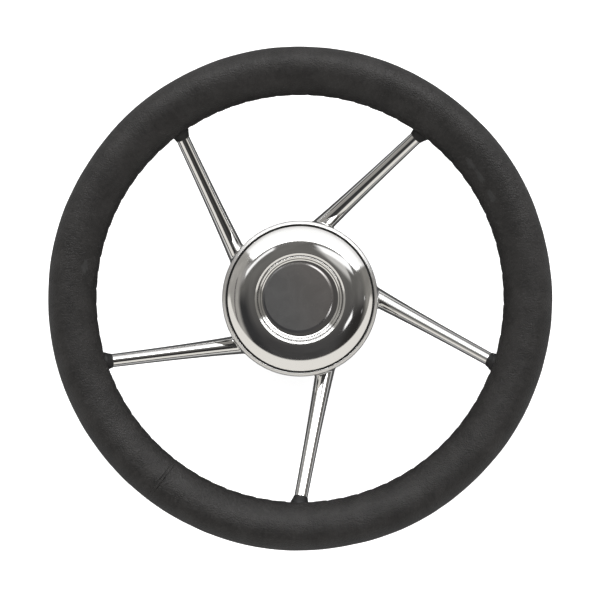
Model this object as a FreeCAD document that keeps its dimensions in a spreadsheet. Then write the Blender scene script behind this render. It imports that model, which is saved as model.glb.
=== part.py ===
import FreeCAD, Part
import math
import os
import re

import Sketcher

# Boat steering wheel, lying on the rear face of its hub.
# The origin is the centre of that face, +Z is the wheel's axis, towards the helmsman.

# Driving dimensions, in millimetres and degrees.
SIZES = {
    "rim_centre_radius": 158.0,
    "rim_round": 17.0,
    "rim_height": 80.0,
    "leather_thickness": 1.2,
    "ring_tube_radius": 6.0,
    "ring_tube_wall": 1.5,
    "thread_radius": 0.6,
    "thread_stand": 0.2,
    "thread_gap": 0.3,
    "seam_angle": 232.6,
    "seam_width": 0.6,
    "seam_depth": 0.5,
    "spoke_count": 5,
    "first_spoke_angle": -91.2,
    "spoke_offset": 27.2,
    "spoke_rim_radius": 4.6,
    "spoke_hub_radius": 6.6,
    "spoke_wall": 1.5,
    "spoke_root_height": 40.6,
    "collar_radius": 6.4,
    "collar_tip_radius": 5.6,
    "collar_depth": 12.0,
    "collar_shank": 6.5,
    "collar_length": 10.0,
    "collar_round": 0.4,
    "cup_radius": 55.0,
    "cup_wall": 2.9,
    "cup_height": 62.5,
    "cup_lip_round": 2.3,
    "cup_floor_angle": 15.0,
    "cup_floor_round": 9.0,
    "seat_depth": 10.5,
    "seat_thickness": 2.0,
    "seat_width": 2.3,
    "boss_radius": 24.0,
    "boss_shoulder": 18.0,
    "boss_spigot_radius": 20.5,
    "boss_chamfer": 1.0,
    "taper_radius": 9.525,
    "taper_ratio": 12.0,
    "land_radius": 8.4,
    "land_length": 3.0,
    "key_width": 4.76,
    "key_depth": 2.4,
    "seal_thickness": 1.0,
    "seal_foot_width": 3.0,
    "seal_drop": 1.0,
    "cap_sheet": 1.0,
    "cap_edge_drop": 1.2,
    "cap_edge_angle": 37.0,
    "cap_roll_radius": 1.4,
    "cap_dome_radius": 33.0,
    "chamfer_radius": 31.7,
    "chamfer_angle": 30.0,
    "recess_radius": 29.7,
    "medallion_thickness": 1.0,
    "medallion_edge_round": 0.35,
    "medallion_face_radius": 26.5,
    "medallion_face_round": 3.0,
    "fit_gap": 0.1,
    "run_gap": 0.3,
}

# Spokes: how far each one runs in plan, from the ring's centre line to the wall of the cup.
SPOKE_RUN = "(sqrt(rim_centre_radius^2 - spoke_offset^2) - sqrt(cup_radius^2 - spoke_offset^2))"
SPOKE_DROP = "(rim_height - spoke_root_height)"
SPOKE_LENGTH = f"sqrt({SPOKE_RUN}^2 + {SPOKE_DROP}^2)"
SPOKE_OVERRUN = "(2 * cup_wall + 2 * spoke_hub_radius)"
SPOKE_TAPER = f"((spoke_hub_radius - spoke_rim_radius) / {SPOKE_LENGTH})"

# Cup and the seal in its mouth.
CUP_BORE = "(cup_radius - cup_wall)"
CUP_FLOOR_TOP = "(boss_shoulder + cup_wall / cos(cup_floor_angle))"
SEAL_OUTER = f"({CUP_BORE} - run_gap)"
SEAL_INNER = f"({SEAL_OUTER} - seal_thickness)"
SEAT_HEIGHT = "(cup_height - seat_depth)"
SEAL_BOTTOM = f"({SEAT_HEIGHT} + run_gap)"

# Boss, from its rear face to the seat of the shaft's nut.
TAPER_LENGTH = "(2 * taper_ratio * (taper_radius - land_radius))"
NUT_SEAT = f"({TAPER_LENGTH} + land_length)"

# Cap, from the skirt inward: a tight roll, the dome, then a chamfer down to the recess.
CAP_RADIUS = f"({SEAL_INNER} - fit_gap)"
CAP_EDGE = "(cup_height - cap_edge_drop)"
SKIRT_BOTTOM = f"({SEAL_BOTTOM} + seal_thickness + fit_gap)"
ROLL_RADIUS = f"({CAP_RADIUS} - cap_roll_radius * (1 - sin(cap_edge_angle)))"
ROLL_HEIGHT = f"({CAP_EDGE} + cap_roll_radius * cos(cap_edge_angle))"
DOME_X = f"({ROLL_RADIUS} - cap_dome_radius * sin(cap_edge_angle))"
DOME_Z = f"({ROLL_HEIGHT} - cap_dome_radius * cos(cap_edge_angle))"
DOME_TOP = f"({DOME_Z} + sqrt(cap_dome_radius^2 - (chamfer_radius - {DOME_X})^2))"
CHAMFER_FOOT = f"({DOME_TOP} - (chamfer_radius - recess_radius) * tan(chamfer_angle))"

# Medallion: its edge is level with the foot of the cap's chamfer, its face one chamfer lower.
MEDALLION_RADIUS = "(recess_radius - fit_gap)"
MEDALLION_STEP = f"(({MEDALLION_RADIUS} - medallion_face_radius) * tan(chamfer_angle))"
RECESS_FLOOR = f"({CHAMFER_FOOT} - {MEDALLION_STEP} - medallion_thickness)"

# Which side of the line of travel an arc's centre lies on.
LEFT = 1
RIGHT = -1

doc = FreeCAD.newDocument("steering_wheel")
sheet = doc.addObject("Spreadsheet::Sheet", "sizes")
for row, (alias, size) in enumerate(SIZES.items(), start=1):
    sheet.set(f"A{row}", alias)
    sheet.set(f"B{row}", str(size))
    sheet.setAlias(f"B{row}", alias)
doc.recompute()

ALIAS = re.compile(r"\b(" + "|".join(SIZES) + r")\b")


def bound(text):
    """Turn an expression in plain aliases into one that reads the sheet."""
    return ALIAS.sub(r"sizes.\1", text)


def number(text):
    """Work out an expression's value now."""
    found = sheet.evalExpression(bound(text))
    return float(getattr(found, "Value", found))


def bind(thing, **expressions):
    """Tie each named property of an object to an expression."""
    for name, text in expressions.items():
        thing.setExpression(name, bound(text))
    return thing


def solid(kind, name, placement=None, **expressions):
    """Add a primitive whose sizes and placement follow the sheet."""
    thing = bind(doc.addObject(kind, name), **expressions)
    if placement:
        bind(thing, Placement=placement)
    return thing


def cut(name, base, tool):
    """Cut one object away from another."""
    thing = doc.addObject("Part::Cut", name)
    thing.Base = base
    thing.Tool = tool
    return thing


def fuse(name, pieces):
    """Join several objects into one tool."""
    thing = doc.addObject("Part::MultiFuse", name)
    thing.Shapes = pieces
    return thing


def corner(x, y, rounding=None, bend=None, side=LEFT):
    """One corner of a profile. rounding rounds it, bend curves the edge that leaves it."""
    return {"x": x, "y": y, "rounding": rounding, "bend": bend, "side": side}


def arc_between(start, end, radius, side):
    """Return the arc from start to end, its centre on the given side of the travel."""
    chord = end - start
    middle = (start + end) * 0.5
    normal = FreeCAD.Vector(-chord.y, chord.x, 0).normalize() * side
    centre = middle + normal * math.sqrt(max(radius**2 - (chord.Length / 2) ** 2, 0))
    first, last = (start, end) if side == LEFT else (end, start)
    begin = math.atan2(first.y - centre.y, first.x - centre.x)
    finish = math.atan2(last.y - centre.y, last.x - centre.x)
    if finish < begin:
        finish += 2 * math.pi
    circle = Part.Circle(centre, FreeCAD.Vector(0, 0, 1), radius)
    return Part.ArcOfCircle(circle, begin, finish)


def pin_point(sketch, geometry, end, x, y):
    """Hold one point of a sketch at a place given by two expressions."""
    for kind, axis, text in (("DistanceX", -2, x), ("DistanceY", -1, y)):
        if text == "0":
            sketch.addConstraint(Sketcher.Constraint("PointOnObject", geometry, end, axis))
        else:
            index = sketch.addConstraint(Sketcher.Constraint(kind, geometry, end, number(text)))
            sketch.setExpression(f"Constraints[{index}]", bound(text))


def pin_radius(sketch, geometry, text):
    """Give an arc a radius that follows the sheet."""
    index = sketch.addConstraint(Sketcher.Constraint("Radius", geometry, number(text)))
    sketch.setExpression(f"Constraints[{index}]", bound(text))


def draw_profile(sketch, corners):
    """Draw a closed, fully constrained profile through the corners."""
    places = [FreeCAD.Vector(number(c["x"]), number(c["y"]), 0) for c in corners]
    count = len(corners)
    leaves = list(places)
    arrives = list(places)
    for i, c in enumerate(corners):
        if c["rounding"]:
            before = (places[i - 1] - places[i]).normalize()
            after = (places[(i + 1) % count] - places[i]).normalize()
            reach = number(c["rounding"]) / math.tan(before.getAngle(after) / 2)
            arrives[i] = places[i] + before * reach
            leaves[i] = places[i] + after * reach

    # One edge for each corner, to the next one. ends holds its first and last point.
    edges = []
    ends = []
    for i, c in enumerate(corners):
        start = leaves[i]
        end = arrives[(i + 1) % count]
        if c["bend"]:
            edges.append(sketch.addGeometry(arc_between(start, end, number(c["bend"]), c["side"])))
            pin_radius(sketch, edges[i], c["bend"])
            ends.append((1, 2) if c["side"] == LEFT else (2, 1))
        else:
            edges.append(sketch.addGeometry(Part.LineSegment(start, end)))
            ends.append((1, 2))

    for i, c in enumerate(corners):
        arriving = (edges[i - 1], ends[i - 1][1])
        leaving = (edges[i], ends[i][0])
        if c["rounding"]:
            turn = (places[i] - places[i - 1]).cross(places[(i + 1) % count] - places[i]).z
            side = LEFT if turn > 0 else RIGHT
            radius = number(c["rounding"])
            arc = sketch.addGeometry(arc_between(arrives[i], leaves[i], radius, side))
            first, last = (1, 2) if side == LEFT else (2, 1)
            sketch.addConstraint(Sketcher.Constraint("Tangent", *arriving, arc, first))
            sketch.addConstraint(Sketcher.Constraint("Tangent", arc, last, *leaving))
            pin_radius(sketch, arc, c["rounding"])
            mark = sketch.addGeometry(Part.Point(places[i]), True)
            sketch.addConstraint(Sketcher.Constraint("PointOnObject", mark, 1, edges[i - 1]))
            sketch.addConstraint(Sketcher.Constraint("PointOnObject", mark, 1, edges[i]))
            pin_point(sketch, mark, 1, c["x"], c["y"])
        else:
            sketch.addConstraint(Sketcher.Constraint("Coincident", *arriving, *leaving))
            pin_point(sketch, *leaving, c["x"], c["y"])


def sketch_on(body, role, name, corners):
    """Add a sketch with a profile to a body, on one of the body's own planes."""
    plane = next(f for f in body.Origin.OriginFeatures if f.Role == role)
    sketch = body.newObject("Sketcher::SketchObject", name)
    sketch.AttachmentSupport = (plane, "")
    sketch.MapMode = "FlatFace"
    draw_profile(sketch, corners)
    return sketch


def turned(name, corners, placement=None):
    """Add a body that is a profile turned about the body's Z axis."""
    body = doc.addObject("PartDesign::Body", name)
    sketch = sketch_on(body, "XZ_Plane", name + "_profile", corners)
    revolution = body.newObject("PartDesign::Revolution", name + "_turned")
    revolution.Profile = sketch
    revolution.ReferenceAxis = (sketch, ["V_Axis"])
    revolution.Angle = 360
    if placement:
        bind(body, Placement=placement)
    return body


def spoke_angle(index):
    """Return the angle on the ring at which a spoke, numbered from 1, is welded to it."""
    return f"((first_spoke_angle + {index - 1} * 360 / spoke_count) * 1 deg)"


def spoke_place(index, along="0"):
    """Return the placement of a spoke: Z runs down it, from the ring's centre line to the hub."""
    angle = spoke_angle(index)
    weld = f"vector(rim_centre_radius * cos({angle}); rim_centre_radius * sin({angle}); rim_height)"
    heading = f"{angle} + 180 deg - asin(spoke_offset / rim_centre_radius)"
    dip = f"90 deg + atan({SPOKE_DROP} / {SPOKE_RUN})"
    start = f"placement(vector(0; 0; {along}); rotation(0; 0; 0))"
    return f"placement({weld}; rotation({heading}; {dip}; 0 deg)) * {start}"


def spoke_cone(name, index, offset):
    """Add a spoke's cone, its radius changed by an offset, running on into the cup."""
    return solid(
        "Part::Cone",
        name,
        spoke_place(index),
        Radius1=f"spoke_rim_radius + {offset}",
        Radius2=f"spoke_hub_radius + {SPOKE_TAPER} * {SPOKE_OVERRUN} + {offset}",
        Height=f"{SPOKE_LENGTH} + {SPOKE_OVERRUN}",
    )


def rim_torus(name, radius):
    """Add a torus on the rim's centre line."""
    place = "placement(vector(0; 0; rim_height); rotation(0; 0; 0))"
    return solid("Part::Torus", name, place, Radius1="rim_centre_radius", Radius2=radius)


def make_spoke(index, ring_weld, cup_weld):
    """Tapered tube, coped to the ring at one end and to the outside of the cup at the other."""
    outside = spoke_cone(f"spoke_outside_{index}", index, "0")
    inside = spoke_cone(f"spoke_inside_{index}", index, "(-spoke_wall)")
    tube = cut(f"spoke_tube_{index}", outside, inside)
    coped = cut(f"spoke_coped_{index}", tube, ring_weld)
    return cut(f"spoke_{index}", coped, cup_weld)


def make_collar(index):
    """Rubber grommet, pushed into the rim round a spoke."""
    tip = "(collar_depth + collar_length)"
    root_bore = f"spoke_rim_radius + {SPOKE_TAPER} * collar_depth + fit_gap"
    tip_bore = f"spoke_rim_radius + {SPOKE_TAPER} * {tip} + fit_gap"
    return turned(
        f"spoke_collar_{index}",
        [
            corner(root_bore, "collar_depth"),
            corner("collar_radius", "collar_depth"),
            corner("collar_radius", "collar_depth + collar_shank"),
            corner("collar_tip_radius", tip, rounding="collar_round"),
            corner(tip_bore, tip),
        ],
        spoke_place(index),
    )


def make_lacing(index):
    """One run of the thread that closes the leather, between two collars."""
    inner_edge = "(rim_centre_radius - rim_round)"
    swing = f"(asin(spoke_offset / {inner_edge}) - asin(spoke_offset / rim_centre_radius))"
    margin = f"asin((collar_radius + 2 * thread_radius) / {inner_edge})"
    start = f"{spoke_angle(index)} + {swing} + {margin}"
    return solid(
        "Part::Torus",
        f"seam_lacing_{index}",
        f"placement(vector(0; 0; rim_height); rotation({start}; 0 deg; 0 deg))",
        Radius1=f"{inner_edge} - thread_stand",
        Radius2="thread_radius",
        Angle3=f"360 deg / spoke_count - 2 * {margin}",
    )


def make_butt_seam():
    """Tool for the shallow groove where the two ends of the leather meet."""
    angle = "(seam_angle * 1 deg)"
    centre = f"vector(rim_centre_radius * cos({angle}); rim_centre_radius * sin({angle}); rim_height)"
    place = f"placement({centre}; rotation({angle}; 0 deg; -90 deg))"
    outside = solid("Part::Cylinder", "seam_outside", place, Radius="rim_round + 1", Height="seam_width")
    inside = solid(
        "Part::Cylinder", "seam_inside", place, Radius="rim_round - seam_depth", Height="seam_width"
    )
    return cut("butt_seam", outside, inside)


def make_rim(drills, sockets):
    """Ring, a foam section between each two spokes, and the leather sleeve round them."""
    tube = rim_torus("ring_outside", "ring_tube_radius")
    hollow = rim_torus("ring_inside", "ring_tube_radius - ring_tube_wall")
    ring = cut("rim_ring", tube, hollow)

    channel = rim_torus("ring_channel", "ring_tube_radius + fit_gap")
    holes = fuse("grip_holes", [channel, drills, sockets])
    grips = []
    for i in range(1, int(SIZES["spoke_count"]) + 1):
        foam = solid(
            "Part::Torus",
            f"foam_section_{i}",
            f"placement(vector(0; 0; rim_height); rotation({spoke_angle(i)}; 0 deg; 0 deg))",
            Radius1="rim_centre_radius",
            Radius2="rim_round - leather_thickness - fit_gap",
            Angle3="360 deg / spoke_count",
        )
        grips.append(cut(f"rim_grip_{i}", foam, holes))

    leather = rim_torus("leather_outside", "rim_round")
    lining = rim_torus("leather_inside", "rim_round - leather_thickness")
    sleeve = cut("leather_sleeve", leather, lining)
    groove = solid(
        "Part::Torus",
        "lacing_groove",
        "placement(vector(0; 0; rim_height); rotation(0; 0; 0))",
        Radius1="rim_centre_radius - rim_round - thread_stand",
        Radius2="thread_radius + thread_gap",
    )
    marks = fuse("leather_cuts", [sockets, groove, make_butt_seam()])
    return [ring, *grips, cut("rim_cover", sleeve, marks)]


def make_cup():
    """Dished cup, its lip well rounded outside, and a seat for the cap."""
    rise = "tan(cup_floor_angle)"
    seat_radius = f"{CUP_BORE} - seat_width"
    return turned(
        "hub_cup",
        [
            corner("boss_spigot_radius + fit_gap", "boss_shoulder"),
            corner("boss_radius", "boss_shoulder"),
            corner(
                "cup_radius",
                f"boss_shoulder + (cup_radius - boss_radius) * {rise}",
                rounding="cup_floor_round",
            ),
            corner("cup_radius", "cup_height", rounding="cup_lip_round"),
            corner(CUP_BORE, "cup_height", rounding="(cup_wall - cup_lip_round) / 2"),
            corner(CUP_BORE, SEAT_HEIGHT),
            corner(seat_radius, SEAT_HEIGHT),
            corner(seat_radius, f"{SEAT_HEIGHT} - seat_thickness"),
            corner(CUP_BORE, f"{SEAT_HEIGHT} - seat_thickness"),
            corner(
                CUP_BORE,
                f"{CUP_FLOOR_TOP} + ({CUP_BORE} - boss_radius) * {rise}",
                rounding="cup_floor_round - cup_wall",
            ),
            corner("boss_radius", CUP_FLOOR_TOP),
            corner("boss_spigot_radius + fit_gap", CUP_FLOOR_TOP),
        ],
    )


def make_cup_weld():
    """Tool that copes a spoke to the outside of the cup, as solid as the cup is hollow."""
    edge = "cup_radius + fit_gap"
    return turned(
        "cup_weld",
        [
            corner("0", "boss_shoulder"),
            corner("boss_radius", "boss_shoulder"),
            corner(
                edge,
                "boss_shoulder + (cup_radius - boss_radius) * tan(cup_floor_angle)",
                rounding="cup_floor_round",
            ),
            corner(edge, "cup_height"),
            corner("0", "cup_height"),
        ],
    )


def make_boss():
    """Turned boss: tapered bore, short straight land, flat seat for the nut, and a keyway."""
    boss = turned(
        "hub_boss",
        [
            corner("taper_radius", "0"),
            corner("boss_radius - boss_chamfer", "0"),
            corner("boss_radius", "boss_chamfer"),
            corner("boss_radius", "boss_shoulder"),
            corner("boss_spigot_radius", "boss_shoulder"),
            corner("boss_spigot_radius", NUT_SEAT),
            corner("land_radius", NUT_SEAT),
            corner("land_radius", TAPER_LENGTH),
        ],
    )
    doc.recompute()
    solid_volume = boss.Shape.Volume
    keyway = sketch_on(
        boss,
        "YZ_Plane",
        "keyway_profile",
        [
            corner("0", "0"),
            corner("taper_radius + key_depth", "0"),
            corner(f"taper_radius + key_depth - {NUT_SEAT} / (2 * taper_ratio)", NUT_SEAT),
            corner("0", NUT_SEAT),
        ],
    )
    pocket = boss.newObject("PartDesign::Pocket", "keyway")
    pocket.Profile = keyway
    pocket.SideType = "Symmetric"
    bind(pocket, Length="key_width")
    boss.Tip = pocket
    doc.recompute()
    if boss.Shape.Volume >= solid_volume:
        raise RuntimeError("the keyway cuts nothing")
    return boss


def make_cap():
    """Pressed cap: skirt, tight roll, dome, chamfer and flat recess, all in one sheet."""
    flank_x = f"{ROLL_RADIUS} - cap_sheet * sin(cap_edge_angle)"
    flank_z = f"{ROLL_HEIGHT} - cap_sheet * cos(cap_edge_angle)"
    neck = "recess_radius + cap_sheet"
    neck_foot = f"{CHAMFER_FOOT} - cap_sheet * (1 - sin(chamfer_angle)) / cos(chamfer_angle)"
    neck_top = f"{DOME_Z} + sqrt((cap_dome_radius - cap_sheet)^2 - (chamfer_radius - {DOME_X})^2)"
    return turned(
        "center_cap",
        [
            corner("0", f"{RECESS_FLOOR} - cap_sheet"),
            corner(neck, f"{RECESS_FLOOR} - cap_sheet"),
            corner(neck, neck_foot),
            corner("chamfer_radius", neck_top, bend="cap_dome_radius - cap_sheet", side=RIGHT),
            corner(flank_x, flank_z, bend="cap_roll_radius - cap_sheet", side=RIGHT),
            corner(f"{CAP_RADIUS} - cap_sheet", CAP_EDGE),
            corner(f"{CAP_RADIUS} - cap_sheet", SKIRT_BOTTOM),
            corner(CAP_RADIUS, SKIRT_BOTTOM),
            corner(CAP_RADIUS, CAP_EDGE, bend="cap_roll_radius"),
            corner(ROLL_RADIUS, ROLL_HEIGHT, bend="cap_dome_radius"),
            corner("chamfer_radius", DOME_TOP),
            corner("recess_radius", CHAMFER_FOOT),
            corner("recess_radius", RECESS_FLOOR),
            corner("0", RECESS_FLOOR),
        ],
    )


def make_medallion():
    """Disc in the cap's recess, chamfered down to a flat face."""
    face = f"{RECESS_FLOOR} + medallion_thickness"
    return turned(
        "cap_medallion",
        [
            corner("0", RECESS_FLOOR),
            corner(MEDALLION_RADIUS, RECESS_FLOOR),
            corner(MEDALLION_RADIUS, CHAMFER_FOOT, rounding="medallion_edge_round"),
            corner("medallion_face_radius", face, rounding="medallion_face_round"),
            corner("0", face),
        ],
    )


def make_seal():
    """Rubber sleeve round the cap's skirt, with a foot under the skirt's edge."""
    return turned(
        "cap_seal",
        [
            corner(f"{CAP_RADIUS} - seal_foot_width", SEAL_BOTTOM),
            corner(SEAL_OUTER, SEAL_BOTTOM),
            corner(SEAL_OUTER, "cup_height - seal_drop"),
            corner(SEAL_INNER, "cup_height - seal_drop"),
            corner(SEAL_INNER, f"{SEAL_BOTTOM} + seal_thickness"),
            corner(f"{CAP_RADIUS} - seal_foot_width", f"{SEAL_BOTTOM} + seal_thickness"),
        ],
    )


def make_wheel():
    """Build every sub-part and return them all."""
    numbers = range(1, int(SIZES["spoke_count"]) + 1)
    drills = fuse("spoke_drills", [spoke_cone(f"drill_{i}", i, "fit_gap") for i in numbers])
    sockets = fuse(
        "collar_sockets",
        [
            solid(
                "Part::Cylinder",
                f"collar_socket_{i}",
                spoke_place(i, "(collar_depth - fit_gap)"),
                Radius="collar_radius + fit_gap",
                Height="rim_round",
            )
            for i in numbers
        ],
    )
    ring_weld = rim_torus("ring_weld", "ring_tube_radius + fit_gap")
    cup_weld = make_cup_weld()

    pieces = make_rim(drills, sockets)
    for i in numbers:
        pieces += [make_spoke(i, ring_weld, cup_weld), make_collar(i), make_lacing(i)]
    pieces += [make_cup(), make_boss(), make_cap(), make_medallion(), make_seal()]
    return pieces


def check_and_write(pieces):
    """Stop on any failed object or bad shape, then write one file for each sub-part."""
    doc.recompute()
    for thing in doc.Objects:
        if "Invalid" in thing.State or "Error" in thing.State:
            raise RuntimeError(f"{thing.Name} failed: {thing.State}")
    for piece in pieces:
        if piece.Shape.isNull() or not piece.Shape.isValid():
            raise RuntimeError(f"{piece.Label} has a bad shape")
    os.makedirs("parts", exist_ok=True)
    for piece in pieces:
        piece.Shape.exportStep(f"parts/{piece.Label}.step")
        print(piece.Label, len(piece.Shape.Solids), round(piece.Shape.Volume))


check_and_write(make_wheel())
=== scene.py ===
import math

import bpy
import numpy as np
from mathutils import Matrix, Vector


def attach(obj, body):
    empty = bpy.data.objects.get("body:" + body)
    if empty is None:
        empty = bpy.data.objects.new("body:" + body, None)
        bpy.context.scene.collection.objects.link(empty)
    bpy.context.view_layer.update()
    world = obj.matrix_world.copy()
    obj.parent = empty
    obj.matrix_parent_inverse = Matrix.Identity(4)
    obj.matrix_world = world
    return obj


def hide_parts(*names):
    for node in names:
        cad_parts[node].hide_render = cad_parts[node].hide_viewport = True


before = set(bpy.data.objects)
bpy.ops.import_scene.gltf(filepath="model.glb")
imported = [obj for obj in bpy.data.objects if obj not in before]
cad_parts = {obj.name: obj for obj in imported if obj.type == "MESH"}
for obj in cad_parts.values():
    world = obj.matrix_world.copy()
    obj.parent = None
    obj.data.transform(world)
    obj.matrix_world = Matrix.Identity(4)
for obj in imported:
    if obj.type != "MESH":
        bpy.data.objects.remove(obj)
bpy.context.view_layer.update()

MM = 0.001

# Sizes in millimetres and degrees, as the part's source has them
RIM_RADIUS = 158.0
RIM_ROUND = 17.0
RIM_HEIGHT = 80.0
SPOKES = 5
FIRST_SPOKE = -91.2
SPOKE_OFFSET = 27.2
SPOKE_RIM_RADIUS = 4.6
SPOKE_HUB_RADIUS = 6.6
ROOT_HEIGHT = 40.6
SEAM_ANGLE = 232.6
CUP_RADIUS = 55.0
CUP_WALL = 2.9
CUP_HEIGHT = 62.5
CUP_SLOPE = 15.0
SHOULDER = 18.0
BOSS_RADIUS = 24.0
SPIGOT_BORE = 20.6
SEAT_HEIGHT = 52.0
SEAT_THICKNESS = 2.0
SEAT_WIDTH = 2.3
SEAL_FOOT = 3.0
SEAL_DROP = 1.0
RUN_GAP = 0.3
CAP_SHEET = 1.0
CHAMFER_RADIUS = 31.7
CHAMFER_SLOPE = 30.0
FACE_RADIUS = 26.5

# Sizes fitted to the photo, which differ a little from the part's source or are only here
CROWN = 2.8             # how far the leather's crown stands outward of a round section's
WELD = 1.5              # radius of the weld's hollow
SPOKE_START = 13.0      # along a spoke, from the rim's centre line
COLLAR_START = 12.2
COLLAR_MOUTH = 17.3     # where a collar leaves the leather
COLLAR_SHANK = 6.5
COLLAR_TIP = 21.5
COLLAR_GRIP = 0.25
STITCHES = 15           # in each span of leather between two spokes
STITCH_MARGIN = 8.6     # from a spoke to the first stitch
THREAD_RADIUS = 0.42
THREAD_SINK = 0.3
SEAL_SHEET = 0.85
SEAL_GAP = 0.05
CAP_DROP = 0.43         # from the cup's lip down to the widest part of the cap
EDGE_ANGLE = 35.0
DOME_ROUND = 36.0
ROLL = 0.6
LIP_FOOT = 50.0         # above this height the cup's wall is a little narrower
SATIN_DEPTH = 4.0       # from the lip down, the cup is satin
RECESS_RADIUS = 29.75
MEDALLION_RADIUS = 29.5
MEDALLION_SHEET = 0.8
FACE_CENTRE = (-1.3, 0.75)
FACE_LEVEL = 22.9       # radius of the disc's raised face
FACE_BLEND = 2.0
FACE_RISE = 0.33
CHAMFER_RUN = 1.5       # widths of the disc's surround, seen from above
BEZEL_RUN = 1.3
FACE_RUN = 1.0

# Fineness of the meshes
CORNER_STEP = 7.5       # degrees of a rounded corner to a quad
LATHE_SEGMENTS = 288

INNER_EDGE = RIM_RADIUS - RIM_ROUND
BLACK = (0.0, 0.0, 0.0)


# Materials

class Graph:
    """A node tree that is written as expressions."""

    def __init__(self, tree):
        self.tree = tree
        tree.nodes.clear()

    def node(self, kind, **settings):
        made = self.tree.nodes.new(kind)
        for name, value in settings.items():
            setattr(made, name, value)
        return made

    def put(self, socket, value):
        """Give an input a number, a colour or another node's output."""
        if isinstance(value, bpy.types.NodeSocket):
            self.tree.links.new(value, socket)
        elif hasattr(value, "__len__") and socket.type == "RGBA" and len(value) == 3:
            socket.default_value = (*value, 1.0)
        else:
            socket.default_value = value

    def math(self, operation, *values):
        made = self.node("ShaderNodeMath", operation=operation)
        for socket, value in zip(made.inputs, values):
            self.put(socket, value)
        return made.outputs[0]

    def add(self, a, b):
        return self.math("ADD", a, b)

    def times(self, a, b):
        return self.math("MULTIPLY", a, b)

    def ramp(self, value, low, high, to_low=0.0, to_high=1.0):
        """Map low..high smoothly to to_low..to_high."""
        made = self.node("ShaderNodeMapRange", interpolation_type="SMOOTHSTEP")
        for socket, number in zip(made.inputs, (value, low, high, to_low, to_high)):
            self.put(socket, number)
        return made.outputs[0]

    def mix(self, share, a, b):
        """Mix two colours."""
        made = self.node("ShaderNodeMix", data_type="RGBA")
        self.put(made.inputs[0], share)
        self.put(made.inputs[6], a)
        self.put(made.inputs[7], b)
        return made.outputs[2]

    def darker(self, share, colour):
        return self.mix(share, colour, BLACK)

    def place(self):
        """The point on the object, in metres."""
        return self.node("ShaderNodeTexCoord").outputs["Object"]

    def parts(self, vector):
        """The x, y and z of a vector."""
        made = self.node("ShaderNodeSeparateXYZ")
        self.put(made.inputs[0], vector)
        return made.outputs

    def join(self, x, y, z=0.0):
        made = self.node("ShaderNodeCombineXYZ")
        for socket, value in zip(made.inputs, (x, y, z)):
            self.put(socket, value)
        return made.outputs[0]

    def length(self, x, y):
        return self.math("SQRT", self.add(self.times(x, x), self.times(y, y)))

    def scaled(self, vector, factors):
        made = self.node("ShaderNodeMapping")
        self.put(made.inputs["Vector"], vector)
        made.inputs["Scale"].default_value = factors
        return made.outputs[0]

    def noise(self, vector, scale, detail=3.0, rough=0.5, distortion=0.0):
        made = self.node("ShaderNodeTexNoise")
        self.put(made.inputs["Vector"], vector)
        made.inputs["Scale"].default_value = scale
        made.inputs["Detail"].default_value = detail
        made.inputs["Roughness"].default_value = rough
        made.inputs["Distortion"].default_value = distortion
        return made.outputs[0]

    def cells(self, vector, scale, feature="F1"):
        made = self.node("ShaderNodeTexVoronoi", feature=feature)
        self.put(made.inputs["Vector"], vector)
        made.inputs["Scale"].default_value = scale
        return made.outputs["Distance"]

    def bump(self, height, depth, strength=1.0, normal=None):
        """Bump, where height 1 stands depth metres proud."""
        made = self.node("ShaderNodeBump")
        made.inputs["Strength"].default_value = strength
        made.inputs["Distance"].default_value = depth
        self.put(made.inputs["Height"], height)
        if normal is not None:
            self.put(made.inputs["Normal"], normal)
        return made.outputs[0]

    def surface(self, **sockets):
        """Finish a material with one Principled shader."""
        shader = self.node("ShaderNodeBsdfPrincipled")
        for name, value in sockets.items():
            self.put(shader.inputs[name.replace("_", " ")], value)
        self.finish("ShaderNodeOutputMaterial", shader)

    def finish(self, kind, shader):
        self.put(self.node(kind).inputs[0], shader.outputs[0])


def material(name):
    made = bpy.data.materials.new(name)
    made.use_nodes = True
    return made, Graph(made.node_tree)


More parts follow.
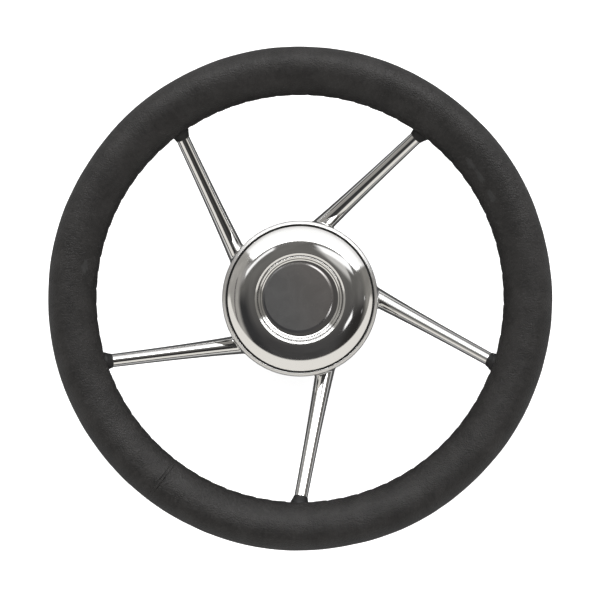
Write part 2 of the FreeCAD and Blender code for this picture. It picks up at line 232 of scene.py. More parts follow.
def leather_material():
    made, g = material("charcoal_leather")
    place = g.place()
    warp = g.noise(place, 420.0, 2.0)
    pebbles = g.ramp(g.cells(place, 760.0), 0.08, 0.75, 1.0, 0.0)
    creases = g.ramp(g.cells(place, 760.0, "DISTANCE_TO_EDGE"), 0.0, 0.16)
    fine = g.noise(place, 2600.0, 3.0, 0.6)
    soft = g.noise(place, 55.0, 3.0, 0.55)
    broad = g.noise(place, 13.0, 2.0, 0.5)
    mottle = g.noise(place, 330.0, 3.0, 0.65)

    # Fine creases that run round the section, as the hide was pulled over the rim. Their hollows
    # carry painted shade.
    x, y, z = g.parts(place)
    radius = g.length(x, y)
    pulled = g.noise(g.join(
        g.times(g.math("DIVIDE", x, radius), RIM_RADIUS * MM),
        g.times(g.math("DIVIDE", y, radius), RIM_RADIUS * MM),
        g.times(g.add(radius, z), 0.3),
    ), 520.0, 4.0, 0.6, 0.5)

    grain = g.add(g.times(pebbles, 0.55), g.add(g.times(creases, 0.3), g.times(fine, 0.25)))
    grain = g.add(grain, g.times(warp, 0.4))
    normal = g.bump(g.add(g.times(soft, 0.7), g.times(broad, 0.6)), 0.00035, 0.5)
    normal = g.bump(pulled, 0.00028, 0.7, normal)
    normal = g.bump(grain, 0.00028, 0.8, normal)
    worn = g.ramp(soft, 0.35, 0.7)
    colour = g.mix(broad, (0.0172, 0.0158, 0.0151), (0.0240, 0.0216, 0.0206))
    # Painted shade: the grain is darker along its creases.
    colour = g.mix(g.times(creases, 0.45), g.mix(0.5, colour, (0.007, 0.007, 0.007)), colour)
    colour = g.mix(g.ramp(mottle, 0.36, 0.66), g.darker(0.38, colour), colour)
    # Painted shade: darker in the hollows of the creases that run round the section.
    colour = g.mix(g.ramp(pulled, 0.38, 0.62), g.darker(0.30, colour), colour)
    colour = g.mix(g.times(worn, 0.3), colour, (0.033, 0.031, 0.030))
    rough = g.add(g.times(worn, -0.04), g.add(0.43, g.times(mottle, 0.10)))
    g.surface(Base_Color=colour, Roughness=rough, Normal=normal, IOR=1.45)
    return made


def thread_material():
    made, g = material("black_thread")
    place = g.place()
    twist = g.node("ShaderNodeTexWave", wave_type="BANDS", bands_direction="DIAGONAL")
    g.put(twist.inputs["Vector"], place)
    twist.inputs["Scale"].default_value = 620.0
    twist.inputs["Distortion"].default_value = 1.5
    colour = g.mix(g.noise(place, 900.0), (0.009, 0.009, 0.010), (0.022, 0.021, 0.021))
    g.surface(Base_Color=colour, Roughness=0.62, Normal=g.bump(twist.outputs[1], 0.00012, 0.7))
    return made


def rubber_material():
    made, g = material("black_rubber")
    place = g.place()
    fine = g.noise(place, 1500.0, 3.0, 0.6)
    broad = g.noise(place, 60.0, 2.0)
    colour = g.mix(broad, (0.005, 0.005, 0.005), (0.010, 0.0095, 0.010))
    rough = g.add(0.5, g.times(broad, 0.2))
    g.surface(Base_Color=colour, Roughness=rough, Normal=g.bump(fine, 0.00006, 0.4))
    return made


def foam_material():
    made, g = material("moulded_foam")
    place = g.place()
    pores = g.cells(place, 700.0)
    colour = g.mix(g.noise(place, 200.0), (0.018, 0.018, 0.018), (0.035, 0.034, 0.033))
    g.surface(Base_Color=colour, Roughness=0.85, Normal=g.bump(pores, 0.0004, 0.6))
    return made


def polished_material(name, satin_from=None):
    """Mirror-polished stainless steel, with faint polishing marks and not quite true.

    Above the height satin_from, in metres, it is satin.
    """
    made, g = material(name)
    place = g.place()
    smear = g.noise(place, 30.0, 3.0, 0.6)
    hair = g.noise(place, 900.0, 4.0, 0.7, 0.4)
    uneven = g.noise(place, 26.0, 1.0, 0.4)
    normal = g.bump(uneven, 0.00006)
    normal = g.bump(hair, 0.0000035, 1.0, normal)
    tint = g.mix(smear, (0.80, 0.795, 0.785), (0.86, 0.858, 0.85))
    roughness = g.add(0.035, g.add(g.times(smear, 0.035), g.times(hair, 0.025)))
    if satin_from is not None:
        satin = g.ramp(g.parts(place)[2], satin_from, satin_from + 0.0008)
        roughness = g.add(roughness, g.times(satin, 0.22))
    g.surface(Base_Color=tint, Metallic=1.0, Roughness=roughness, Normal=normal)
    return made


def disc_material():
    """Clouded polished face inside a slope painted darker as shade, and a bright bezel."""
    made, g = material("disc_steel")
    place = g.place()
    x, y, _ = g.parts(place)
    centre = [value * MM for value in FACE_CENTRE]
    away = g.length(g.add(x, -centre[0]), g.add(y, -centre[1]))
    cloud = g.noise(place, 70.0, 4.0, 0.62, 0.6)
    hair = g.noise(g.scaled(place, (1.0, 0.12, 1.0)), 1100.0, 3.0, 0.6)
    normal = g.bump(g.add(g.times(cloud, 0.8), g.times(hair, 0.03)), 0.00003)
    inside = g.ramp(away, (FACE_LEVEL + 1.4) * MM, (FACE_LEVEL + 2.3) * MM, 1.0, 0.0)
    bezel = g.ramp(g.length(x, y), (FACE_RADIUS - 0.4) * MM, FACE_RADIUS * MM)
    # Painted reflection: the face is warmer and lighter towards the right.
    warm_lit_side = g.ramp(g.add(x, g.times(y, 0.4)), -0.02, 0.02)
    face = g.mix(warm_lit_side, (0.795, 0.81, 0.835), (0.89, 0.86, 0.855))
    face = g.mix(g.ramp(cloud, 0.3, 0.7), g.darker(0.11, face), face)
    # Painted shade: a darker ring at the foot of the raised face, out to the bezel.
    tint = g.mix(inside, (0.52, 0.51, 0.51), face)
    tint = g.mix(bezel, tint, (0.82, 0.815, 0.80))
    roughness = g.add(0.06, g.add(g.times(inside, 0.05), g.times(hair, 0.03)))
    g.surface(Base_Color=tint, Metallic=1.0, Roughness=roughness, Normal=normal)
    return made


def turned_material():
    """Plain turned steel, with fine rings about the wheel's axis."""
    made, g = material("turned_steel")
    place = g.place()
    x, y, z = g.parts(place)
    lines = g.noise(g.join(g.length(x, y), z), 3200.0, 3.0, 0.6)
    smear = g.noise(place, 45.0, 3.0)
    tint = g.mix(smear, (0.50, 0.49, 0.475), (0.62, 0.61, 0.60))
    roughness = g.add(0.24, g.add(g.times(lines, 0.10), g.times(smear, 0.08)))
    g.surface(
        Base_Color=tint, Metallic=1.0, Roughness=roughness, Normal=g.bump(lines, 0.00002, 0.7)
    )
    return made


# Meshes

def build(name, points, faces, surface, body, replaced, normals=None):
    """Make a piece from points in millimetres, and put it in the frame."""
    mesh = bpy.data.meshes.new(name)
    mesh.from_pydata([tuple(p) for p in np.asarray(points) * MM], [], faces)
    mesh.validate()
    mesh.polygons.foreach_set("use_smooth", [True] * len(mesh.polygons))
    if normals is not None:
        mesh.normals_split_custom_set_from_vertices([tuple(n) for n in normals])
    mesh.materials.append(surface)
    made = bpy.data.objects.new(name, mesh)
    bpy.context.scene.collection.objects.link(made)
    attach(made, body)
    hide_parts(*replaced)
    return made


def grid_faces(rows, columns, row_ring=False):
    """Quads over a grid of points, stored row by row, where each row is a ring."""
    faces = []
    for r in range(rows if row_ring else rows - 1):
        below = r * columns
        above = (r + 1) % rows * columns
        for c in range(columns):
            d = (c + 1) % columns
            faces.append((below + c, below + d, above + d, above + c))
    return faces


def arc(x, z, radius, start, end, steps, inward=False):
    """Points on a profile's arc, in degrees, each with its outward normal."""
    found = []
    for angle in np.radians(np.linspace(start, end, steps + 1)):
        c, s = math.cos(angle), math.sin(angle)
        sign = -1 if inward else 1
        found.append((x + radius * c, z + radius * s, sign * c, sign * s))
    return found


def smooth_profile(items, step=2.0):
    """Turn a closed profile into points with normals, its outside on the left of the travel.

    An item is a corner (r, z, rounding), or a list of points with normals from arc().
    """
    flat = []
    for item in items:
        flat += item if isinstance(item, list) else [item]
    count = len(flat)
    result = []
    for i, item in enumerate(flat):
        before = np.array(flat[i - 1][:2])
        here = np.array(item[:2])
        after = np.array(flat[(i + 1) % count][:2])
        if len(item) == 4:
            result.append([item])
            continue
        into = (here - before) / max(np.linalg.norm(here - before), 1e-9)
        out = (after - here) / max(np.linalg.norm(after - here), 1e-9)
        left_in = (-into[1], into[0])
        left_out = (-out[1], out[0])
        radius = item[2]
        if not radius:
            result.append([(*here, *left_in), (*here, *left_out)])
            continue
        turn = math.atan2(into[0] * out[1] - into[1] * out[0], float(into @ out))
        reach = radius * math.tan(abs(turn) / 2)
        start = here - into * reach
        side = 1 if turn > 0 else -1
        centre = start + side * radius * np.array(left_in)
        steps = max(3, int(abs(math.degrees(turn)) / CORNER_STEP))
        corner = []
        for k in range(steps + 1):
            swing = turn * k / steps
            c, s = math.cos(swing), math.sin(swing)
            normal = (left_in[0] * c - left_in[1] * s, left_in[0] * s + left_in[1] * c)
            point = centre - side * radius * np.array(normal)
            corner.append((*point, *normal))
        result.append(corner)

    # Long straight runs are divided, so that every quad stays compact.
    points = []
    for i, group in enumerate(result):
        points += group
        a = np.array(group[-1])
        b = np.array(result[(i + 1) % count][0])
        length = float(np.linalg.norm(b[:2] - a[:2]))
        straight = abs(float(a[2:] @ b[2:])) > 0.9999
        if straight:
            for k in range(1, int(length / step) + 1):
                share = k / (int(length / step) + 1)
                points.append(tuple(a * (1 - share) + b * share))
    return points


def lathe(name, items, surface, body, replaced, step=2.0, swell=None):
    """Turn a closed profile about Z. It is given in millimetres.

    swell raises the level faces: it gives the height and the slope at each point seen from above.
    """
    profile = np.array(smooth_profile(items, step))
    angles = np.linspace(0, 2 * math.pi, LATHE_SEGMENTS, endpoint=False)
    c, s = np.cos(angles), np.sin(angles)

    def turned(column, height):
        """Carry one pair of the profile's columns round the axis."""
        level = np.repeat(height[:, None], LATHE_SEGMENTS, 1)
        return np.stack([column[:, None] * c, column[:, None] * s, level], -1).reshape(-1, 3)

    points = turned(np.maximum(profile[:, 0], 0.0), profile[:, 1])
    normals = turned(profile[:, 2], profile[:, 3])
    if swell is not None:
        level = (normals[:, 2] > 0.99).astype(float)
        height, slope = swell(points[:, :2])
        points[:, 2] += height * level
        normals[:, :2] -= slope * level[:, None]
        normals /= np.linalg.norm(normals, axis=1)[:, None]
    faces = grid_faces(len(profile), LATHE_SEGMENTS, row_ring=True)
    faces = [f[::-1] for f in faces if not face_is_flat(points, f)]
    return build(name, points, faces, surface, body, replaced, normals)


def face_is_flat(points, face):
    """Tell whether a quad has no area, as between the two copies of a sharp corner."""
    a, b, c, d = (points[i] for i in face)
    return float(np.linalg.norm(np.cross(c - a, d - b))) < 1e-7


def spoke_frame(index):
    """Start, direction and two side directions of a spoke, numbered from 0, and its length."""
    angle = math.radians(FIRST_SPOKE + index * 360 / SPOKES)
    start = np.array([RIM_RADIUS * math.cos(angle), RIM_RADIUS * math.sin(angle), RIM_HEIGHT])
    run = math.sqrt(RIM_RADIUS**2 - SPOKE_OFFSET**2) - math.sqrt(CUP_RADIUS**2 - SPOKE_OFFSET**2)
    drop = RIM_HEIGHT - ROOT_HEIGHT
    length = math.hypot(run, drop)
    heading = angle + math.pi - math.asin(SPOKE_OFFSET / RIM_RADIUS)
    along = np.array([math.cos(heading) * run, math.sin(heading) * run, -drop]) / length
    across = np.cross([0.0, 0.0, 1.0], along)
    across /= np.linalg.norm(across)
    return start, along, across, np.cross(along, across), length


def spoke_radius(t, length):
    """A spoke's radius at t from the rim's centre line: slim, then swelling towards the cup."""
    share = t / length
    return SPOKE_RIM_RADIUS + (SPOKE_HUB_RADIUS - SPOKE_RIM_RADIUS) * (0.25 * share + 0.75 * share**3)


def circle(across, up, sides):
    """Directions round a spoke's axis."""
    phi = np.linspace(0, 2 * math.pi, sides, endpoint=False)
    return np.cos(phi)[:, None] * across + np.sin(phi)[:, None] * up


def make_spoke(index, surface):
    """Tapered tube with a dressed weld round its root, which is sunk a little into the cup."""
    start, along, across, up, length = spoke_frame(index)
    sides = 72
    sunk = 0.03
    ring = circle(across, up, sides)

    def wall(radius):
        """How far along the spoke each side line meets the cup's wall."""
        p = start + radius * ring
        a = along[0] ** 2 + along[1] ** 2
        b = p[:, 0] * along[0] + p[:, 1] * along[1]
        c = p[:, 0] ** 2 + p[:, 1] ** 2 - (CUP_RADIUS - sunk) ** 2
        return (-b - np.sqrt(b * b - a * c)) / a

    rows = []
    mouth = wall(SPOKE_HUB_RADIUS) - WELD
    for share in np.linspace(0, 1, 60):
        t = SPOKE_START + share * (mouth - SPOKE_START)
        rows.append(start + t[:, None] * along + spoke_radius(t, length)[:, None] * ring)
    for bend in np.radians(np.linspace(7.5, 90.0, 12)):
        flare = WELD * (1 - math.cos(bend))
        near = WELD * (1 - math.sin(bend))
        radius = spoke_radius(mouth, length) + flare
        t = wall(SPOKE_HUB_RADIUS + flare) - near
        rows.append(start + t[:, None] * along + radius[:, None] * ring)
    points = np.concatenate(rows)
    faces = grid_faces(len(rows), sides)
    return build(
        f"steel_spoke_{index + 1}", points, faces, surface, "wheel",
        [f"spoke_{index + 1}"],
    )


def make_collar(index, surface):
    """Moulded rubber collar, tapering from the leather to its tip."""
    start, along, across, up, length = spoke_frame(index)
    bore = spoke_radius(COLLAR_TIP, length) - COLLAR_GRIP
    outline = smooth_profile([
        (bore, COLLAR_TIP, 0.0),
        (bore, COLLAR_START, 0.0),
        (COLLAR_SHANK, COLLAR_START, 0.0),
        (COLLAR_SHANK, 17.0, 1.0),
        (5.9, 18.4, 1.6),
        (5.25, 20.2, 1.0),
        (5.1, COLLAR_TIP, 0.5),
    ], 0.6)
    sides = 64
    ring = circle(across, up, sides)
    points = np.concatenate([start + p[1] * along + p[0] * ring for p in outline])
    faces = grid_faces(len(outline), sides, row_ring=True)
    faces = [f for f in faces if not face_is_flat(points, f)]
    return build(
        f"collar_{index + 1}", points, faces, surface, "wheel",
        [f"spoke_collar_{index + 1}"],
    )


def entry_angle(index):
    """The angle at which a spoke passes the rim's inner edge, in degrees."""
    swing = math.degrees(
        math.asin(SPOKE_OFFSET / INNER_EDGE) - math.asin(SPOKE_OFFSET / RIM_RADIUS)
    )
    return FIRST_SPOKE + index * 360 / SPOKES + swing


def stitch_angles():
    """The angles of all the stitches, in degrees, span by span."""
    margin = math.degrees(math.asin(STITCH_MARGIN / INNER_EDGE))
    spans = []
    for i in range(SPOKES):
        first = entry_angle(i) + margin
        last = entry_angle(i + 1) - margin
        spans.append(np.linspace(first, last, STITCHES + 1))
    return spans


def ripple(u, v, seed, waves, low, high):
    """Smooth, repeatable unevenness over the rim, about -1 to 1."""
    rng = np.random.default_rng(seed)
    total = np.zeros(np.broadcast(u, v).shape)
    for _ in range(waves):
        k = rng.integers(low, high)
        m = rng.integers(0, 3)
        total += np.sin(k * u + m * v + rng.uniform(0, 2 * math.pi))
    return total / math.sqrt(waves)


def bell(distance, width):
    """A smooth hump, 1 high at distance 0."""
    return np.exp(-((distance / width) ** 2))


def puckers(u, v, inner):
    """How far the stitches pull the leather in, along its seam and at their holes beside it."""
    pull = np.zeros_like(u)
    for span in stitch_angles():
        for j, at in enumerate(span):
            away = (u - math.radians(at) + math.pi) % (2 * math.pi) - math.pi
            depth = 0.16 if j % 2 else 0.10
            pull += depth * bell(away * INNER_EDGE, 1.5)
    holes = bell(np.abs(v - math.pi) - 0.2, 0.1)
    return pull[:, None] * (0.75 * holes + 1.9 * inner)


def folds(u, v):
    """Fine folds on both sides of the laced seam."""
    waves = np.sin(u * 360 / 4.35 + 1.3 * np.sin(u * 9))
    return 0.06 * waves * bell(np.abs(v - math.pi) - 0.45, 0.3)


def butt_seam(u, v):
    """Two ends of the leather, butted: a groove on each side of a narrow strip, and stretch marks."""
    offset = (u - math.radians(SEAM_ANGLE)) * (RIM_RADIUS + RIM_ROUND * np.cos(v))
    strength = 0.55 + 0.45 * bell(v - 2.0, 0.7)
    lift = 0.12 * bell(offset, 1.6)
    for place, depth in ((-1.05, 0.42), (1.05, 0.50)):
        lift = lift - depth * strength * bell(offset - place, 0.30)
    for bend, at in ((0.0, 5.5), (1.1, 9.5), (2.0, -6.5), (3.2, -11.0)):
        curve = offset - at - 1.8 * np.sin(1.5 * v + bend)
        lift = lift - 0.11 * bell(v - 1.9, 0.75) * bell(curve, 0.9)
    return lift


def drawn_in(u, v):
    """How far the leather is drawn in round the collars."""
    out = RIM_RADIUS + RIM_ROUND * np.cos(v)
    dip = 0.0
    for i in range(SPOKES):
        start, along = spoke_frame(i)[:2]
        mouth = start + COLLAR_MOUTH * along
        x = out * np.cos(u) - mouth[0]
        y = out * np.sin(u) - mouth[1]
        z = RIM_HEIGHT + RIM_ROUND * np.sin(v) - mouth[2]
        dip = dip + 0.5 * bell(np.sqrt(x * x + y * y + z * z) - 7.2, 1.5)
    return dip


def make_leather(surface):
    """Leather sleeve: hand-stretched, puckered at its stitches, butted where its ends meet."""
    seam = math.radians(SEAM_ANGLE)
    u = np.linspace(0, 2 * math.pi, 1300, endpoint=False)
    fine = seam + np.radians(np.linspace(-1.6, 1.6, 90))
    u = np.unique(np.concatenate([u[np.abs(u - seam) > math.radians(1.65)], fine]))
    # Around the section the rows are closer together at the inner edge.
    even = np.linspace(0, 2 * math.pi, 70, endpoint=False)
    v = even + 0.42 * np.sin(even)
    u2, v2 = u[:, None], v[None, :]

    # The section's radius only shrinks, most along the laced seam, and its crown leans outward.
    inner = bell(v2 - math.pi, 0.34)
    swell = 0.16 * ripple(u2, v2, 3, 10, 3, 16) + 0.05 * ripple(u2, v2, 5, 14, 20, 70)
    lift = swell * (1 - 0.6 * inner) - 0.12 * (1 - inner) - 0.12 * bell(v2 - math.pi, 0.11)
    lift = lift - puckers(u, v2, inner) + folds(u2, v2) + butt_seam(u2, v2) - drawn_in(u2, v2)

    radius = RIM_ROUND + np.minimum(lift, 0.0)
    out = RIM_RADIUS + radius * np.cos(v2) + CROWN * np.sin(v2) ** 2
    points = np.stack(
        [out * np.cos(u2), out * np.sin(u2), RIM_HEIGHT + radius * np.sin(v2)], -1
    ).reshape(-1, 3)
    faces = [f[::-1] for f in grid_faces(len(u), len(v), row_ring=True)]
    return build("leather_sleeve", points, faces, surface, "wheel", ["rim_cover"])


def strand(path, radius, sides=8):
    """Points and quads of a thread along a path, closed at both ends by tapering."""
    path = np.array(path)
    ahead = np.gradient(path, axis=0)
    ahead /= np.linalg.norm(ahead, axis=1)[:, None]
    aslant = [0.31, 0.17, 0.93]     # no stitch runs this way
    side = np.cross(ahead, aslant)
    side /= np.linalg.norm(side, axis=1)[:, None]
    other = np.cross(ahead, side)
    phi = np.linspace(0, 2 * math.pi, sides, endpoint=False)
    count = len(path)
    swell = radius * np.minimum(1, 0.35 + 3.2 * np.sin(np.linspace(0, math.pi, count)))
    points = (
        path[:, None, :]
        + swell[:, None, None] * (np.cos(phi)[None, :, None] * side[:, None, :]
                                  + np.sin(phi)[None, :, None] * other[:, None, :])
    ).reshape(-1, 3)
    faces = grid_faces(count, sides)
    faces.append(tuple(range(sides))[::-1])
    faces.append(tuple(range((count - 1) * sides, count * sides)))
    return points, faces


def make_lacing(index, surface):
    """Cross stitches that draw the leather's two edges together along the inner edge."""
    span = np.radians(stitch_angles()[index])
    rng = np.random.default_rng(20 + index)
    points, faces, count = [], [], 0

    def on_leather(angle, lean, stand):
        reach = RIM_ROUND - THREAD_SINK + stand
        r = RIM_RADIUS - reach * math.cos(lean)
        z = RIM_HEIGHT + reach * math.sin(lean)
        return (r * math.cos(angle), r * math.sin(angle), z)

    for k in range(len(span) - 1):
        for sign in (1, -1):
            path = []
            jitter = rng.uniform(-0.0008, 0.0008)
            for share in np.linspace(0, 1, 12):
                angle = span[k] + share * (span[k + 1] - span[k]) + jitter
                lean = sign * 0.2 * math.cos(share * math.pi)
                arch = math.sin(share * math.pi)
                stand = -0.35 + (0.26 if sign > 0 else 0.12) * min(1.0, 2.2 * arch)
                path.append(on_leather(angle, lean, stand))
            made, quads = strand(path, THREAD_RADIUS)
            points.append(made)
            faces += [tuple(i + count for i in q) for q in quads]
            count += len(made)
    return build(
        f"lacing_{index + 1}", np.concatenate(points), faces, surface, "wheel",
        [f"seam_lacing_{index + 1}"],
    )


# Radii and heights of the cap, worked out from the cup's bore and lip
CUP_BORE = CUP_RADIUS - CUP_WALL
SEAL_OUTER = CUP_BORE - RUN_GAP
SEAL_INNER = SEAL_OUTER - SEAL_SHEET
SEAL_BOTTOM = SEAT_HEIGHT + RUN_GAP
SKIRT_BOTTOM = SEAL_BOTTOM + SEAL_SHEET + 0.1
CAP_RADIUS = SEAL_INNER - SEAL_GAP
CAP_EDGE = CUP_HEIGHT - CAP_DROP
EDGE = math.radians(EDGE_ANGLE)
ROLL_R = CAP_RADIUS - ROLL * (1 - math.sin(EDGE))
ROLL_Z = CAP_EDGE + ROLL * math.cos(EDGE)
DOME_X = ROLL_R - DOME_ROUND * math.sin(EDGE)
DOME_Z = ROLL_Z - DOME_ROUND * math.cos(EDGE)
DOME_TOP = DOME_Z + math.sqrt(DOME_ROUND**2 - (CHAMFER_RADIUS - DOME_X) ** 2)
SLOPE = math.tan(math.radians(CHAMFER_SLOPE))
LEDGE = DOME_TOP - CHAMFER_RUN * SLOPE
BEZEL = LEDGE - 0.05
STEP = BEZEL - BEZEL_RUN * SLOPE
FACE = STEP - FACE_RUN * SLOPE
FLOOR = FACE - MEDALLION_SHEET


def make_cap(surface):
    """Pressed cap: skirt, roll, dome, chamfer and recess."""
    inner_round = DOME_ROUND - CAP_SHEET
    neck = RECESS_RADIUS + CAP_SHEET
    dome_end = math.degrees(math.asin((CHAMFER_RADIUS + 0.3 - DOME_X) / DOME_ROUND))
    under_end = math.degrees(math.asin((CHAMFER_RADIUS - DOME_X) / inner_round))
    return lathe("dome_cap", [
        (0.0, FLOOR, 0.0),
        (RECESS_RADIUS, FLOOR, 0.3),
        (RECESS_RADIUS, LEDGE, 0.15),
        (RECESS_RADIUS + 0.5, LEDGE, 0.5),
        (CHAMFER_RADIUS, DOME_TOP - 0.01, 0.5),
        arc(DOME_X, DOME_Z, DOME_ROUND, 90 - dome_end, 90 - EDGE_ANGLE, 40),
        arc(CAP_RADIUS - ROLL, CAP_EDGE, ROLL, 90 - EDGE_ANGLE, 0, 12)[1:],
        (CAP_RADIUS, SKIRT_BOTTOM, 0.3),
        (CAP_RADIUS - CAP_SHEET, SKIRT_BOTTOM, 0.3),
        (CAP_RADIUS - CAP_SHEET, CAP_EDGE - 0.6, 0.3),
        arc(DOME_X, DOME_Z, inner_round, 91.5 - EDGE_ANGLE, 90 - under_end, 24, True),
        (neck + 0.2, LEDGE - CAP_SHEET, 0.4),
        (neck, FLOOR - CAP_SHEET, 0.5),
        (0.0, FLOOR - CAP_SHEET, 0.0),
    ], surface, "cap", ["center_cap"])


def raised_face(place):
    """The disc's softly raised face, which is not quite central."""
    away = place - np.array(FACE_CENTRE)
    distance = np.maximum(np.linalg.norm(away, axis=1), 1e-6)
    t = np.clip((distance - FACE_LEVEL) / FACE_BLEND, 0.0, 1.0)
    height = FACE_RISE * (1 - t * t * (3 - 2 * t))
    slope = -FACE_RISE * 6 * t * (1 - t) / FACE_BLEND
    return height, slope[:, None] * away / distance[:, None]


def make_medallion(surface):
    """Bare disc in a stepped bezel."""
    return lathe("cap_disc", [
        (0.0, FACE, 0.0),
        (FACE_RADIUS, FACE, 0.9),
        (FACE_RADIUS + FACE_RUN, STEP, 0.35),
        (FACE_RADIUS + FACE_RUN + 0.5, STEP, 0.5),
        (MEDALLION_RADIUS - 0.15, BEZEL, 0.4),
        (MEDALLION_RADIUS, LEDGE - 0.25, 0.15),
        (MEDALLION_RADIUS, FLOOR + 0.02, 0.0),
        (0.0, FLOOR + 0.02, 0.0),
    ], surface, "cap", ["cap_medallion"], step=0.4, swell=raised_face)


def make_seal(surface):
    """Rubber sleeve with a rounded top edge."""
    foot = CAP_RADIUS - SEAL_FOOT
    top = CUP_HEIGHT - SEAL_DROP
    return lathe("rubber_seal", [
        (SEAL_INNER, top, 0.3),
        (SEAL_OUTER, top, 0.5),
        (SEAL_OUTER, SEAL_BOTTOM, 0.3),
        (foot, SEAL_BOTTOM, 0.3),
        (foot, SEAL_BOTTOM + SEAL_SHEET, 0.3),
        (SEAL_INNER, SEAL_BOTTOM + SEAL_SHEET, 0.2),
    ], surface, "cap", ["cap_seal"])


def make_cup(surface):
    """Dished cup with a rounded lip."""
    rise = math.tan(math.radians(CUP_SLOPE))
    floor_top = SHOULDER + CUP_WALL / math.cos(math.radians(CUP_SLOPE))
    seat = CUP_BORE - SEAT_WIDTH
    seat_foot = SEAT_HEIGHT - SEAT_THICKNESS
    return lathe("hub_bowl", [
        (SPIGOT_BORE, floor_top, 0.3),
        (BOSS_RADIUS, floor_top, 2.0),
        (CUP_BORE, floor_top + (CUP_BORE - BOSS_RADIUS) * rise, 6.0),
        (CUP_BORE, seat_foot, 0.0),
        (seat, seat_foot, 0.3),
        (seat, SEAT_HEIGHT, 0.3),
        (CUP_BORE, SEAT_HEIGHT, 0.0),
        (CUP_BORE, CUP_HEIGHT, 0.2),
        (CUP_BORE + 0.35, CUP_HEIGHT - 0.02, 0.5),
        (CUP_RADIUS - 0.7, CUP_HEIGHT - 1.15, 0.7),
        (CUP_RADIUS - 0.4, CUP_HEIGHT - 2.4, 1.2),
        (CUP_RADIUS - 0.35, LIP_FOOT, 0.0),
        (CUP_RADIUS, LIP_FOOT - 2.5, 3.0),
        (CUP_RADIUS, SHOULDER + (CUP_RADIUS - BOSS_RADIUS) * rise, 9.0),
        (BOSS_RADIUS, SHOULDER, 2.0),
        (SPIGOT_BORE, SHOULDER, 0.0),
    ], surface, "wheel", ["hub_cup"])


# Pieces

leather = leather_material()
thread = thread_material()
rubber = rubber_material()
foam = foam_material()
mirror = polished_material("polished_steel")
lipped = polished_material("satin_lipped_steel", (CUP_HEIGHT - SATIN_DEPTH) * MM)
disc = disc_material()
turned = turned_material()


def dress(node, surface):
    """Give a piece of the CAD model, which stays as it is, its material."""
    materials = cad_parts[node].data.materials
    materials.clear()
    materials.append(surface)


dress("rim_ring", turned)
dress("hub_boss", turned)
for i in range(1, SPOKES + 1):
    dress(f"rim_grip_{i}", foam)

make_leather(leather)
for i in range(SPOKES):
    make_spoke(i, mirror)
    make_collar(i, rubber)
    make_lacing(i, thread)
make_cup(lipped)
make_cap(mirror)
make_medallion(disc)
make_seal(rubber)


# Studio

def make_floor():
    """White table, a little over white to the camera so that only a shadow shows on it.

    The steel mirrors it darker, as painted shade, and darkest under the wheel, as a painted shadow.
    """
    half, below = 40.0, -0.0002
    corners = [(-half, -half, below), (half, -half, below), (half, half, below), (-half, half, below)]
    mesh = bpy.data.meshes.new("table")
    mesh.from_pydata(corners, [], [(0, 1, 2, 3)])
    made, g = material("white_table")
    path = g.node("ShaderNodeLightPath")
    seen = g.math("MAXIMUM", path.outputs["Is Camera Ray"], path.outputs["Is Transmission Ray"])
    mirrored = path.outputs["Is Glossy Ray"]
    x, y, _ = g.parts(g.place())
    # Painted shadow: the glow that the steel mirrors is darkest under the wheel.
    dim = g.ramp(g.length(x, y), 0.13, 0.38, 0.06, 0.62)
    diffuse = g.node("ShaderNodeBsdfDiffuse")
    # Painted shade: to the steel, the table is nearly black.
    g.put(diffuse.inputs["Color"], g.mix(mirrored, (0.8, 0.8, 0.8), (0.03, 0.03, 0.03)))
    glow = g.node("ShaderNodeEmission")
    g.put(glow.inputs["Strength"], g.add(g.times(seen, 0.72), g.times(mirrored, dim)))
    both = g.node("ShaderNodeAddShader")
    g.put(both.inputs[0], diffuse.outputs[0])
    g.put(both.inputs[1], glow.outputs[0])
    g.finish("ShaderNodeOutputMaterial", both)
    mesh.materials.append(made)
    table = bpy.data.objects.new("table", mesh)
    bpy.context.scene.collection.objects.link(table)


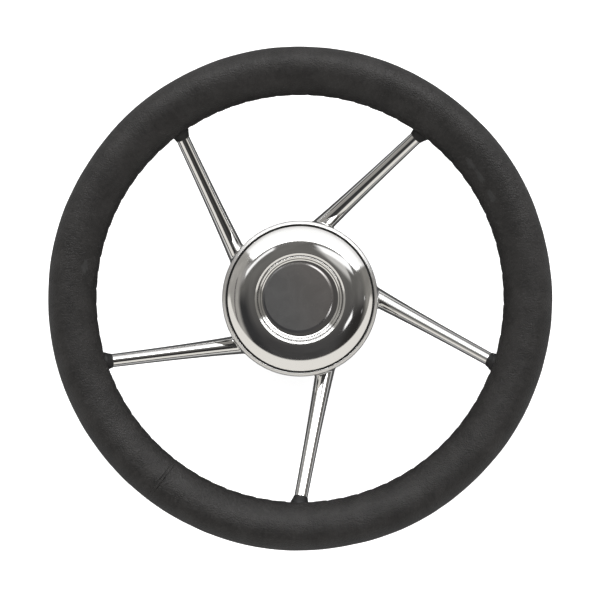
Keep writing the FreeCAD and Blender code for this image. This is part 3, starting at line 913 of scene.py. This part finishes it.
def make_world():
    """White backdrop, and the room that the steel mirrors.

    The room has a window, pale walls and a dim ceiling. Its places are given where a direction meets
    a plane one unit up: across to the right, and ahead to the top of the picture.
    """
    world = bpy.data.worlds.new("studio")
    world.use_nodes = True
    bpy.context.scene.world = world
    g = Graph(world.node_tree)
    direction = g.node("ShaderNodeTexCoord").outputs["Generated"]
    x, y, z = g.parts(direction)
    rise = g.math("MAXIMUM", z, 0.02)
    across = g.math("DIVIDE", x, rise)
    ahead = g.math("DIVIDE", y, rise)
    wider = g.add(g.times(g.math("MINIMUM", g.length(across, ahead), 2.0), 0.12), 1.0)
    across = g.times(across, wider)
    ahead = g.times(ahead, wider)
    bow = g.times(across, across)

    # The room: dim overhead, dimmer still to the left, paler towards its side walls.
    blotch = g.noise(direction, 3.4, 3.0, 0.6)
    room = g.mix(g.ramp(ahead, -0.3, 0.22), (0.070, 0.068, 0.068), (0.165, 0.160, 0.152))
    left = g.times(g.ramp(across, -0.25, -0.6), g.ramp(ahead, 0.14, -0.12))
    room = g.mix(left, room, (0.040, 0.040, 0.041))
    right = g.times(g.ramp(across, 0.35, 0.8), g.ramp(ahead, 0.0, -0.3))
    room = g.mix(right, room, (0.036, 0.034, 0.033))
    room = g.mix(g.ramp(across, 1.15, 1.9), room, (0.29, 0.28, 0.26))
    room = g.mix(g.ramp(across, -0.86, -1.2), room, (0.45, 0.435, 0.41))
    room = g.mix(g.ramp(blotch, 0.35, 0.7), g.darker(0.22, room), room)

    def lit(colour, u0, u1, v0, v1, soft, turn=0.0):
        """Lay a soft-edged rectangle of one colour over the room, turned by some degrees."""
        nonlocal room
        c, s = math.cos(math.radians(turn)), math.sin(math.radians(turn))
        u = g.add(g.times(across, c), g.times(ahead, s))
        v = g.add(g.times(across, -s), g.times(ahead, c))
        share = g.times(
            g.times(g.ramp(u, u0 - soft, u0 + soft), g.ramp(u, u1 + soft, u1 - soft)),
            g.times(g.ramp(v, v0 - soft, v0 + soft), g.ramp(v, v1 + soft, v1 - soft)),
        )
        room = g.mix(share, room, colour)

    # A pale wall at the bottom of the picture, a window at its top, lamps, and a dark post.
    lit((0.36, 0.35, 0.34), -1.1, -0.72, 0.26, 0.60, 0.10)
    lit((0.11, 0.10, 0.10), -1.63, -1.48, -0.6, 0.5, 0.05)
    wall = g.add(g.times(ahead, -1.0), g.times(bow, 0.17))
    wall = g.times(g.ramp(wall, 1.02, 1.16), g.ramp(ahead, 0.3, -0.1))
    room = g.mix(wall, room, (0.87, 0.845, 0.80))
    lit((0.62, 0.61, 0.59), 0.14, 0.48, 0.17, 0.42, 0.05)
    lit((1.25, 1.25, 1.25), 0.17, 0.74, 0.34, 0.59, 0.04)
    lit((1.2, 1.2, 1.2), -0.60, -0.05, 0.57, 0.71, 0.03, 22.7)
    lit((1.3, 1.3, 1.3), 0.20, 0.37, -0.465, -0.35, 0.02, 31.0)
    lit((0.9, 0.9, 0.9), 1.39, 1.47, -0.02, 0.05, 0.02)
    lit((0.5, 0.5, 0.5), 1.16, 1.23, -0.27, -0.21, 0.02)
    far = g.add(ahead, g.times(bow, 0.25))
    window = g.ramp(far, 0.72, 0.84)
    window = g.times(window, g.ramp(g.add(across, g.times(ahead, 1.15)), -0.08, 0.10))
    window = g.times(window, g.ramp(g.add(ahead, g.times(across, -0.49)), -0.02, 0.14))
    pane = g.mix(g.ramp(far, 1.1, 1.75), (6.8, 6.8, 6.8), (1.2, 1.2, 1.2))
    pane = g.mix(g.ramp(far, 2.2, 3.6), pane, (0.86, 0.85, 0.84))
    room = g.mix(window, room, pane)

    def background(colour, strength=1.0):
        made = g.node("ShaderNodeBackground")
        g.put(made.inputs["Color"], colour)
        g.put(made.inputs["Strength"], strength)
        return made

    def either(test, no, yes):
        """One shader or another, by the kind of the ray."""
        made = g.node("ShaderNodeMixShader")
        for socket, value in zip(made.inputs, (test, no.outputs[0], yes.outputs[0])):
            g.put(socket, value)
        return made

    # Diffuse surfaces are lit by an even white, and only the camera sees the backdrop.
    path = g.node("ShaderNodeLightPath")
    white = (1.0, 1.0, 1.0)
    seen = either(path.outputs["Is Diffuse Ray"], background(room), background(white, 0.62))
    seen = either(path.outputs["Is Camera Ray"], seen, background(white))
    g.finish("ShaderNodeOutputWorld", seen)


def make_lamp(name, place, target, size, watts):
    """Soft lamp that the steel doesn't mirror."""
    lamp = bpy.data.lights.new(name, "AREA")
    lamp.shape = "RECTANGLE"
    lamp.size, lamp.size_y = size
    lamp.energy = watts
    made = bpy.data.objects.new(name, lamp)
    made.location = place
    made.rotation_euler = (Vector(target) - Vector(place)).to_track_quat("-Z", "Y").to_euler()
    made.visible_glossy = False
    bpy.context.scene.collection.objects.link(made)


def make_camera():
    """Straight above, its lens and place fitted to the circles of the photo."""
    data = bpy.data.cameras.new("camera")
    data.sensor_fit = "HORIZONTAL"
    data.sensor_width = 36.0
    data.lens = 164.32
    data.clip_end = 100.0
    made = bpy.data.objects.new("camera", data)
    made.location = (-0.00004, -0.00099, 1.98)
    bpy.context.scene.collection.objects.link(made)
    bpy.context.scene.camera = made


make_floor()
make_world()
make_lamp("key", (0.15, 1.6, 2.2), (0, 0, 0.05), (1.6, 1.2), 34.0)
make_camera()
bpy.context.scene.view_settings.view_transform = "Standard"
